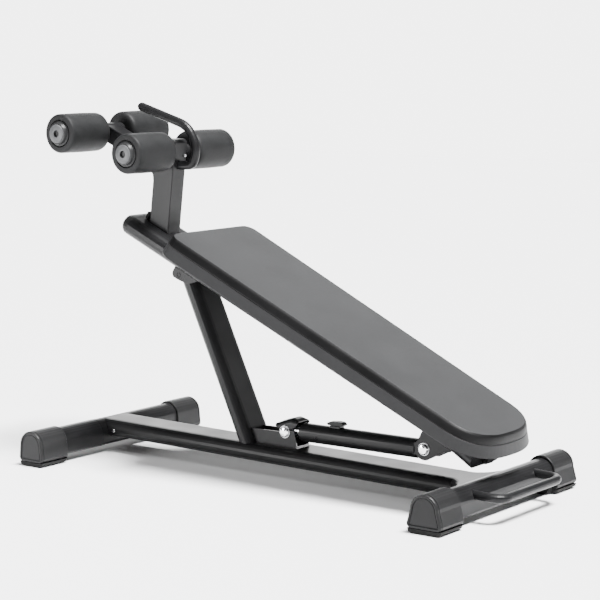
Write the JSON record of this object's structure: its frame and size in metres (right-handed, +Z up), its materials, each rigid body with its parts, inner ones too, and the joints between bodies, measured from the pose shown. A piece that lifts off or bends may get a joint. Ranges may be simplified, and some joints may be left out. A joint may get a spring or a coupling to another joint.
{
  "type": "decline sit up bench",
  "caption": "Decline sit up bench with a padded board hinged over a low frame, a pin-locked telescopic strut, foam leg rollers on two axles and a bent grab handle.",
  "frame": {"origin": "on the floor at the middle of the bounding box", "axes": "+X along the bench from the rollers toward the low end, +Z up, +Y across, away from the side with the bolt heads"},
  "size_m": [1.5364, 0.723, 1.0488],
  "materials": {
    "black_plastic": "satin black moulding",
    "black_rubber": "matt black",
    "chrome": "bright",
    "foam": "closed-cell foam, smooth dark skin",
    "frame_paint": "dark grey powder coat, satin",
    "plug": "satin moulding",
    "upholstery": "fine-grained black vinyl with small perforations",
    "zinc": "satin zinc plate"
  },
  "bodies": {
    "base": {"rear_crossbar": "frame_paint", "front_crossbar": "frame_paint", "rear_bar_sleeve": "frame_paint", "rear_bar_collar": "frame_paint", "foot_cap_rear_near": "black_plastic", "foot_cap_rear_far": "black_plastic", "foot_cap_front_near": "black_plastic", "foot_cap_front_far": "black_plastic", "rubber_foot_rear_near": "black_rubber", "rubber_foot_rear_far": "black_rubber", "rubber_foot_front_near": "black_rubber", "rubber_foot_front_far": "black_rubber", "main_beam": "frame_paint", "beam_bolt": "zinc", "lifting_handle": "frame_paint", "support_post": "frame_paint", "hinge_barrel": "frame_paint", "strut_bracket": "frame_paint", "lower_bolt": "chrome", "lower_washer": "zinc"},
    "board": {"axle_spacer_far": "black_plastic", "axle_spacer_near": "black_plastic", "back_cover": "black_plastic", "bumper": "black_rubber", "column_block": "black_rubber", "column_bolt": "zinc", "cushion": "upholstery", "front_axle": "zinc", "grab_handle": "frame_paint", "hinge_cheek_far": "frame_paint", "hinge_cheek_near": "frame_paint", "hinge_pin": "zinc", "pad_mount_foot": "frame_paint", "pad_mount_head": "frame_paint", "pivot_lug_far": "frame_paint", "pivot_lug_near": "frame_paint", "rear_axle": "zinc", "rear_axle_hub": "frame_paint", "roller_column": "frame_paint", "spine_cap_head": "black_plastic", "spine_tube": "frame_paint", "upper_bolt": "chrome", "upper_washer": "zinc"},
    "strut_lower": {"inner_tube": "zinc", "strut_hood": "frame_paint"},
    "strut_upper": {"outer_tube": "frame_paint", "tube_screw_a": "zinc", "tube_screw_b": "zinc", "pop_pin_housing": "frame_paint"},
    "pop_pin": {"plunger": "zinc", "pull_lever": "black_plastic"},
    "roller_rear_near": {"core_rear_near": "plug", "foam_rear_near": "foam"},
    "roller_rear_far": {"core_rear_far": "plug", "foam_rear_far": "foam"},
    "roller_front_near": {"core_front_near": "plug", "foam_front_near": "foam"},
    "roller_front_far": {"core_front_far": "plug", "foam_front_far": "foam"}
  },
  "joints": [
    {"name": "board_tilt", "type": "hinge", "parent": "base", "child": "board", "pos_m": [-0.3885, 0, 0.5555], "axis": [0, -1, 0], "range_deg": [0, 12]},
    {"name": "strut_swing", "type": "hinge", "parent": "base", "child": "strut_lower", "pos_m": [-0.0295, 0, 0.1312], "axis": [0, -1, 0], "range_deg": [0, 18.95]},
    {"name": "strut_slide", "type": "slide", "parent": "strut_lower", "child": "strut_upper", "axis": [1, 0, 0.0044], "range_m": [0, 0.0997]},
    {"name": "pop_pin_pull", "type": "slide", "parent": "strut_upper", "child": "pop_pin", "axis": [-0.0044, 0, 1], "range_m": [0, 0.008], "stiffness_N_per_m": 400, "springref_m": -0.004},
    {"name": "roller_spin_rear_near", "type": "hinge", "parent": "board", "child": "roller_rear_near", "pos_m": [-0.711, 0, 0.961], "axis": [0, 1, 0], "continuous": true},
    {"name": "roller_spin_rear_far", "type": "hinge", "parent": "board", "child": "roller_rear_far", "pos_m": [-0.711, 0, 0.961], "axis": [0, 1, 0], "continuous": true},
    {"name": "roller_spin_front_near", "type": "hinge", "parent": "board", "child": "roller_front_near", "pos_m": [-0.454, 0, 0.91], "axis": [0, 1, 0], "continuous": true},
    {"name": "roller_spin_front_far", "type": "hinge", "parent": "board", "child": "roller_front_far", "pos_m": [-0.454, 0, 0.91], "axis": [0, 1, 0], "continuous": true}
  ],
  "couplings": [
    {"joint": "strut_swing", "follows": "board_tilt", "ratio": 1.575},
    {"joint": "strut_slide", "follows": "board_tilt", "m_per_rad": 0.475}
  ]
}
